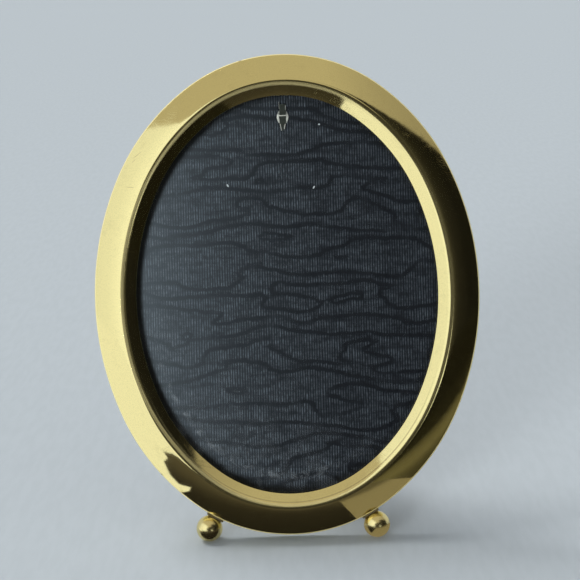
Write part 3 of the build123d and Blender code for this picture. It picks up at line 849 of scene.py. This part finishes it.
# A turned rivet along z with its head's dome below zero and its shank above
def addRivet(bm, rivet, place):
    part = bmesh.new()
    head, dome = rivet["head"], rivet["dome"]
    # The dome is an arc of a sphere through its top and its rim
    sphere = (head**2 + dome**2) / (2 * dome)
    spread = asin(head / sphere)
    crown = part.verts.new((0, 0, -dome))
    arc = bmesh.ops.spin(
        part, geom=[crown], cent=(0, 0, sphere - dome), axis=(0, -1, 0), angle=spread, steps=10,
    )["geom_last"]
    line = only(bmesh.types.BMVert, arc)
    end = rivet["length"] + rivet["tailHeight"]
    corners = [(rivet["shank"], 0), (rivet["shank"], rivet["length"])]
    if rivet["tail"]:
        corners += [(rivet["tail"], rivet["length"]), (rivet["tail"], end)]
    corners.append((0, end))
    for outwards, height in corners:
        line.append(part.verts.new((outwards, 0, height)))
        part.edges.new(line[-2:])
    spinSection(part, part.verts[:] + part.edges[:], 32)
    softenEdges(part, rivetEdge)
    part.transform(place)
    mesh = bpy.data.meshes.new("rivet")
    part.to_mesh(mesh)
    part.free()
    bm.from_mesh(mesh)
    bpy.data.meshes.remove(mesh)


def makeButtons():
    rivets = bmesh.new()
    for name, angle in button["angles"].items():
        pivot = Matrix.Translation(ovalPoint(angle, button["inset"]))
        inwards = Matrix.Rotation(radians(angle + 180), 4, "Z")
        bm = makeButton(pivot @ Matrix.Translation((0, 0, button["rear"])) @ inwards)
        addPiece("turn_" + name, bm, "button_brass", ["turn_button_" + name], "button_" + name)
        addRivet(rivets, buttonRivet, pivot @ Matrix.Translation((0, 0, button["rivetHeight"])))
    addPiece("button_pins", rivets, "rivet_brass", ["button_rivets"])


print("turn buttons")
makeButtons()


# Ball feet on their curved saddles

foot = {
    "ballRadius": 5.4,
    "spacing": 69.0,
    "reach": 5.7,
    "height": 3.6,
    "seat": 0.91,  # how far the ball's flat stands off the rim wall
    "saddleLength": 7.4,
    "saddleWidth": 4.8,
    "saddleThickness": 0.8,
    "saddleGap": 0.03,
    "saddleEdge": 0.2,
}


def makeFeet():
    size = foot
    x, y, radius = ovalArcs()[5][:3]  # the bottom arc
    wall = radius + oval["band"]
    middle = wall + size["reach"]
    for side, name in ((-1, "left"), (1, "right")):
        angle = radians(270) + side * asin(size["spacing"] / 2 / middle)
        outwards = Matrix.Translation((x, y, size["height"])) @ Matrix.Rotation(angle, 4, "Z")
        ball = bmesh.new()
        bmesh.ops.create_uvsphere(ball, u_segments=48, v_segments=32, radius=size["ballRadius"])
        ball.transform(Matrix.Rotation(pi / 2, 4, "Y"))
        cutBeyond(ball, (size["seat"] - size["reach"], 0, 0), (-1, 0, 0))
        ball.transform(outwards @ Matrix.Translation((middle, 0, 0)))
        addPiece("foot_" + name, ball, "ball_brass", ["ball_foot_" + name])
        saddle = bmesh.new()
        inner = wall + size["saddleGap"]
        outer = inner + size["saddleThickness"]
        high = size["saddleWidth"] / 2
        half = size["saddleLength"] / 2 / inner
        outline = ((inner, -high), (outer, -high), (outer, high), (inner, high))
        saddle.faces.new([saddle.verts.new((reach, 0, height)) for reach, height in outline])
        saddle.transform(Matrix.Rotation(-half, 4, "Z"))
        section = saddle.faces[:] + saddle.edges[:] + saddle.verts[:]
        bmesh.ops.spin(saddle, geom=section, cent=(0, 0, 0), axis=(0, 0, 1), angle=2 * half, steps=12)
        faceOutwards(saddle)
        softenEdges(saddle, size["saddleEdge"], 3)
        place = placeFrame @ outwards
        addPiece("saddle_" + name, saddle, "dark_brass", ["foot_saddle_" + name], place=place)


print("ball feet")
makeFeet()


# Easel leg with its rivets, tacks and stay ribbon

leg = {
    "topRise": 33.4,
    "topWidth": 24.0,
    "footWidth": 29.0,
    "footRise": -101.6,
    "topRadius": 5.0,
    "overrun": 20.0,  # drawn past the floor and then cut off at it
    "clothThickness": 0.3,
    "clothEdge": 0.08,
}


# One cloth face of the leg, cut off square at the floor
def legCover(rear, front):
    size = leg
    widening = (size["footWidth"] - size["topWidth"]) / (size["topRise"] - size["footRise"])
    low = size["footRise"] - size["overrun"]
    half = size["topWidth"] / 2
    lowHalf = half + widening / 2 * (size["topRise"] - low)
    bm = bmesh.new()
    corners = ((-half, size["topRise"]), (-lowHalf, low), (lowHalf, low), (half, size["topRise"]))
    verts = [bm.verts.new((across, rise, rear)) for across, rise in corners]
    bm.faces.new(verts)
    roundCorner(bm, verts[0], size["topRadius"])
    roundCorner(bm, verts[-1], size["topRadius"])
    thicken(bm, front - rear)
    bm.transform(placeLeg)
    cutBeyond(bm, (0, 0, 0), (0, 0, -1))
    softenEdges(bm, size["clothEdge"] * mm)
    return bm


def makeLeg():
    size = leg
    cloth = size["clothThickness"]
    for name, rear, front in (
        ("leg_cloth_inner", heights["legInner"] - cloth, heights["legInner"]),
        ("leg_cloth_outer", heights["legOuter"], heights["legOuter"] + cloth),
    ):
        bm = legCover(rear, front)
        piece = addPiece(name, bm, "back_cloth", ["leg_covers"], "leg", Matrix.Identity(4), legCloth)


# Each piece's kind of rivet, turn about x, body, node and places: across, rise and height
fastenings = {
    "back_rivets": (backRivet, 0, "frame", "hinge_rivets_back", ((-5.5, 44.2, 1.452), (5.5, 44.2, 1.452))),
    "leg_rivets": (legRivet, 0, "leg", "hinge_rivets_leg", ((-5.5, 26.5, -4.448), (5.5, 26.5, -4.448))),
    "back_tack": (tack, 0, "frame", "ribbon_tack_back", ((0, -22, 1.252),)),
    "leg_tack": (tack, 180, "leg", "ribbon_tack_leg", ((0, -22, -0.448),)),
}


def makeRivets():
    for name, (rivet, turn, body, node, places) in fastenings.items():
        bm = bmesh.new()
        for place in places:
            addRivet(bm, rivet, Matrix.Translation(place) @ Matrix.Rotation(radians(turn), 4, "X"))
        addPiece(name, bm, "rivet_brass", [node], body, placeLeg if body == "leg" else placeFrame)


ribbon = {
    "width": 10.5,
    "thickness": 0.4,
    "tabTop": -18.0,
    "bend": -26.0,
    "backHeight": 1.752,
    "legHeight": -0.948,
    "tabSteps": 6,
    "steps": 24,
}


# The ribbon runs straight from its tack on the back to its tack on the leg
def makeRibbon():
    size = ribbon
    backTop = Vector((0, size["tabTop"], size["backHeight"]))
    backBend = Vector((0, size["bend"], size["backHeight"]))
    legBend = openLeg @ Vector((0, size["bend"], size["legHeight"]))
    legTop = openLeg @ Vector((0, size["tabTop"], size["legHeight"]))
    route = [backTop]
    for there, steps in ((backBend, size["tabSteps"]), (legBend, size["steps"]), (legTop, size["tabSteps"])):
        here = route[-1]
        route += [here.lerp(there, (i + 1) / steps) for i in range(steps)]
    bm = bmesh.new()
    reach = bm.verts.layers.float.new("reach")
    row = [bm.verts.new(backTop + Vector((i / 4 * size["width"], 0, 0))) for i in range(-2, 3)]
    edges = [bm.edges.new(pair) for pair in zip(row, row[1:])]
    run = 0.0
    for here, there in zip(route, route[1:]):
        grown = bmesh.ops.extrude_edge_only(bm, edges=edges)["geom"]
        edges = only(bmesh.types.BMEdge, grown)
        verts = only(bmesh.types.BMVert, grown)
        bmesh.ops.translate(bm, verts=verts, vec=there - here)
        run += (there - here).length
        for vert in verts:
            vert[reach] = run
    # The weave follows the ribbon's length in millimetres and its width from 0 to 1
    weave = bm.loops.layers.uv.new("weave")
    for face in bm.faces:
        for loop in face.loops:
            loop[weave].uv = (loop.vert[reach], loop.vert.co.x / size["width"] + 0.5)
    faceOutwards(bm)
    for vert in bm.verts:
        vert.co += vert.normal * (size["thickness"] / 2)
    bmesh.ops.solidify(bm, geom=bm.faces[:], thickness=size["thickness"])
    piece = addPiece("stay_tape", bm, "ribbon", ["stay_ribbon"], None)
    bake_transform(piece)


print("leg and ribbon")
makeLeg()
makeRivets()
makeRibbon()


# Hanging ring, its eyelet and the clip's prongs behind the glass

hanger = {
    "eyeletMiddle": 72.9,
    "eyeletHalfWidth": 1.88,
    "eyeletHalfHeight": 2.55,
    "eyeletWire": 0.50,
    "eyeletFlatness": 0.3,
    "eyeletHeight": 5.152,
    "ringRadius": 7.0,
    "wireRadius": 0.8,
    "ringCentre": (0, 67.6, 0.652),
    "rimHeight": 5.72,
    # Edges of the prongs that catch the light: a radius and two points
    "rims": (
        (0.12, (-1.4, 79.0), (-1.3, 76.3)),
        (0.20, (1.28, 77.4), (1.28, 75.9)),
        (0.24, (-1.5, 73.4), (1.55, 73.4)),
        (0.13, (-1.0, 69.9), (-0.62, 67.4)),
        (0.13, (1.0, 69.9), (0.62, 68.0)),
    ),
}


# A round wire ring in the plane of x and y
def wireRing(radius, wire, steps=96, segments=20):
    bm = bmesh.new()
    section = bmesh.ops.create_circle(
        bm, segments=segments, radius=wire,
        matrix=Matrix.Translation((radius, 0, 0)) @ Matrix.Rotation(pi / 2, 4, "X"),
    )["verts"]
    edges = list({edge for vert in section for edge in vert.link_edges})
    spinSection(bm, section + edges, steps)
    return bm


# A straight round wire between two points, with rounded ends
def addWire(bm, here, there, radius):
    along = there - here
    turn = along.to_track_quat("Z", "Y").to_matrix().to_4x4()
    verts = bmesh.ops.create_uvsphere(bm, u_segments=10, v_segments=8, radius=radius)["verts"]
    farHalf = [vert for vert in verts if vert.co.z > 0.01 * radius]
    bmesh.ops.translate(bm, verts=farHalf, vec=(0, 0, along.length))
    bmesh.ops.transform(bm, verts=verts, matrix=Matrix.Translation(here) @ turn)


def makeHanger():
    size = hanger
    eyelet = wireRing(size["eyeletHalfWidth"], size["eyeletWire"], 64, 12)
    stretch = size["eyeletHalfHeight"] / size["eyeletHalfWidth"]
    eyelet.transform(Matrix.Diagonal((1, stretch, size["eyeletFlatness"], 1)))
    eyelet.transform(Matrix.Translation((0, size["eyeletMiddle"], size["eyeletHeight"])))
    addPiece("eyelet_rim", eyelet, "clip_metal", ["hanger_eyelet"], material=nickelRims)
    rims = bmesh.new()
    for radius, here, there in size["rims"]:
        addWire(rims, Vector((*here, size["rimHeight"])), Vector((*there, size["rimHeight"])), radius)
    addPiece("prong_edges", rims, "clip_metal", material=nickelRims)
    loop = wireRing(size["ringRadius"], size["wireRadius"])
    loop.transform(Matrix.Translation(size["ringCentre"]))
    addPiece("wire_ring", loop, "clip_metal", ["hanger_ring"], "hanging_ring", placeRing)


print("hanger")
makeHanger()


# Stage, camera and light

stage = {"floorSize": 60.0, "floorColour": (0.450, 0.490, 0.515), "grain": 0.965}
camera = {
    "distance": 0.55,
    "mmPerPixel": 0.4104,
    "imageSize": 580,
    "ovalCentre": (287.2, 294.3),
    "rimHeight": 6.0,
    "roll": 1.5,
    "sensor": 36.0,
}
keyLight = {"direction": (-0.46, 0.26, 0.85), "strength": 2.4, "softness": 32, "colour": (1.0, 1.0, 1.0)}
fillLight = {"tilt": 28, "turn": 186, "strength": 2.2, "softness": 16, "colour": (0.95, 0.98, 1.0)}
# Glowing panels on the floor, in millimetres, which only the metal and the glass mirror. They paint reflections: a
# bright one on the left, and dark and tan ones in front and on the right. The dark panel is darkest close in front
# of the frame, where it stands in for the shade there. The ramp runs forwards from the first corner's y, over a
# metre
reflectionPanels = {
    "paintedBrightReflection": {
        "corners": (
            (-85, -30), (-66, -33), (-62, -46), (-64, -52), (-71, -46), (-82, -50), (-100, -64),
            (-104, -79), (-117, -90), (-104, -170), (-5000, -29000), (-29000, -29000), (-29000, 1090),
            (-300, 100),
        ),
        "height": 0.6,
        "colour": (0.98, 1.05, 1.13),
        "stops": ((0.0, 1.0), (1.0, 1.0)),
    },
    "paintedDarkReflection": {
        "corners": (
            (-62, -33), (30, -33), (28, -50), (27, -66), (62, -108), (14000, -29000), (-7000, -29000),
            (-160, -170), (-150, -80), (-100, -45),
        ),
        "height": 0.2,
        "colour": (1.0, 0.92, 0.80),
        "stops": (
            (0.0, 0.014), (0.015, 0.022), (0.04, 0.070), (0.09, 0.095), (0.13, 0.040), (0.2, 0.025),
        ),
    },
    "paintedFootReflection": {
        "corners": ((15, -15), (95, -15), (95, -220), (5, -220)),
        "height": 0.1,
        "colour": (0.26, 0.24, 0.19),
        "stops": ((0.0, 1.0), (0.042, 0.95), (0.050, 0.42), (0.09, 0.36), (0.2, 0.20)),
    },
    "paintedRightReflection": {
        "corners": ((84, -20), (29000, 1350), (29000, -29000), (12650, -29000), (64, -105), (55, -80)),
        "height": 0.6,
        "colour": (1.0, 0.95, 0.62),
        "stops": ((0.0, 0.008), (0.03, 0.06), (0.045, 0.14), (0.06, 0.11), (0.085, 0.015), (0.2, 0.008)),
    },
}
room = {
    "window": (0.93, 1.00, 1.08),
    "windowStops": ((0.0, 0.94), (0.25, 0.98), (0.46, 1.02), (0.66, 1.16), (1.0, 1.16)),
    "ceiling": (0.515, 0.49, 0.42),
    "ceilingStops": ((0.0, 1.0), (0.25, 1.0), (0.60, 0.74), (1.0, 0.55)),
    "pale": (0.56, 0.59, 0.61),
    "ambient": (0.37, 0.385, 0.40),
    "windowEdge": (-0.612, -0.763, 0.209),
    "ceilingEdge": (-0.280, 0.780, -0.560),
    "ridgeEdge": (-0.450, 0.860, -0.240),
    "darkTint": (1.0, 0.98, 0.88),
    "darkStops": ((0.0, 0.010), (0.40, 0.006), (0.58, 0.014), (0.68, 0.030), (0.80, 0.06), (1.0, 0.045)),
}


def makeFloor():
    bm = bmesh.new()
    bmesh.ops.create_grid(bm, x_segments=1, y_segments=1, size=stage["floorSize"] / 2)
    material, shade = newMaterial("paleFloor")
    grain = shade.make("ShaderNodeTexCoord", output="Object").scaled(260, 60, 1).noise(1.0, 2)
    faint = [level * stage["grain"] for level in stage["floorColour"]]
    shown = grain.step(0.3, 0.7).mixed(stage["floorColour"], faint)
    finished(material, shade, Base_Color=shown, Roughness=0.9, Specular_IOR_Level=0.0)
    floor = addMesh("floor", bm, material)


def makeReflectionPanels():
    for name, card in reflectionPanels.items():
        bm = bmesh.new()
        bm.faces.new([bm.verts.new((x * mm, y * mm, card["height"] * mm)) for x, y in card["corners"]])
        faceOutwards(bm)
        # Each panel glows by its own emission: a painted reflection, which no lamp gives
        material, shade = newMaterial(name)
        forwards = shade.make("ShaderNodeTexCoord", output="Object").split().other("Y") * -1.0
        glow = (forwards + card["corners"][0][1] * mm).ramp(card["stops"], card["colour"])
        output(shade, shade.make("ShaderNodeEmission", inputs={"Color": glow}))
        piece = addMesh(name, bm, material)
        piece.visible_camera = False
        piece.visible_diffuse = False
        piece.visible_shadow = False


def makeCamera():
    size = camera
    lens = bpy.data.cameras.new("camera")
    eye = addObject("camera", lens)
    middle = size["imageSize"] / 2
    halfView = middle * size["mmPerPixel"] * mm
    lens.sensor_width = size["sensor"]
    lens.lens = size["sensor"] / 2 * size["distance"] / halfView
    # The view's middle, from the oval's centre, in the plane of the picture
    aside = (middle - size["ovalCentre"][0]) * size["mmPerPixel"]
    above = (size["ovalCentre"][1] - middle) * size["mmPerPixel"]
    centre = Matrix.Translation(placeFrame @ Vector((0, 0, size["rimHeight"])))
    look = standUp @ Matrix.Rotation(radians(-size["roll"]), 4, "Z")
    eye.matrix_world = centre @ look @ Matrix.Translation((aside * mm, above * mm, size["distance"]))
    lens.clip_start = 0.01
    lens.clip_end = 200
    bpy.context.scene.camera = eye


# A sun lamp in one direction. The metal and the glass mirror the room instead
def makeLamp(name, light, direction):
    sun = bpy.data.lights.new(name, "SUN")
    sun.energy = light["strength"]
    sun.angle = radians(light["softness"])
    sun.color = light["colour"]
    lamp = addObject(name, sun)
    lamp.rotation_mode = "QUATERNION"
    lamp.rotation_quaternion = direction.to_track_quat("Z", "Y")
    lamp.visible_glossy = False


def makeLights():
    makeLamp("key", keyLight, Vector(keyLight["direction"]))
    tilt = radians(fillLight["tilt"])
    turn = radians(fillLight["turn"])
    toLamp = Vector((sin(tilt) * cos(turn), sin(tilt) * sin(turn), cos(tilt)))
    makeLamp("fill", fillLight, standUp @ toLamp)


# A bright window on the left, a tan ceiling, a dark room ahead and on the right, and pale walls behind
def makeRoom():
    world = bpy.data.worlds.new("room")
    world.use_nodes = True
    world.node_tree.nodes.clear()
    bpy.context.scene.world = world
    shade = Shade(world.node_tree)
    direction = shade.make("ShaderNodeTexCoord", output="Generated")
    out = direction.dot(faceNormal)
    across, window, ceiling, lower = [
        direction.dot(standUp @ Vector(edge))
        for edge in ((1, 0, 0), room["windowEdge"], room["ceilingEdge"], room["ridgeEdge"])
    ]
    window = window.step(-0.012, 0.012) * out.step(0.955, 0.90)
    # Along the top of the ridge the ceiling reaches further down
    ceiling = (ceiling.step(0.0, 0.04) + lower.step(0.0, 0.06) * out.step(0.76, 0.80)).clamped()
    behind = out.step(0.10, -0.12)
    walls = out.ramp(room["darkStops"], room["darkTint"])
    walls = ceiling.mixed(walls, across.ramp(room["ceilingStops"], room["ceiling"]))
    walls = window.mixed(walls, out.ramp(room["windowStops"], room["window"]))
    walls = behind.mixed(walls, room["pale"])
    # The camera sees pale walls all round, metal and glass see the room, and the rest gets an even level
    ray = shade.make("ShaderNodeLightPath")
    mirrored = ray.maths("MAXIMUM", ray.other("Is Glossy Ray"), ray.other("Is Transmission Ray"))
    walls = mirrored.mixed(room["ambient"], walls)
    walls = ray.other("Is Camera Ray").mixed(walls, room["pale"])
    light = shade.make("ShaderNodeBackground", inputs={"Color": walls, "Strength": 1.0})
    shade.make("ShaderNodeOutputWorld", inputs={"Surface": light})


print("stage, camera and light")
makeFloor()
makeReflectionPanels()
makeCamera()
makeLights()
makeRoom()
bpy.context.scene.view_settings.view_transform = "Standard"

for name, node in frame["nodes"].items():
    if not node.hide_render:
        slot = next(part["material_slot"] for part in frame["record"]["subparts"] if part["node"] == name)
        finish = {"leg_board": legCard, "hanger_clip": dullClip}.get(name, materials[slot])
        for place in node.material_slots:
            place.material = finish
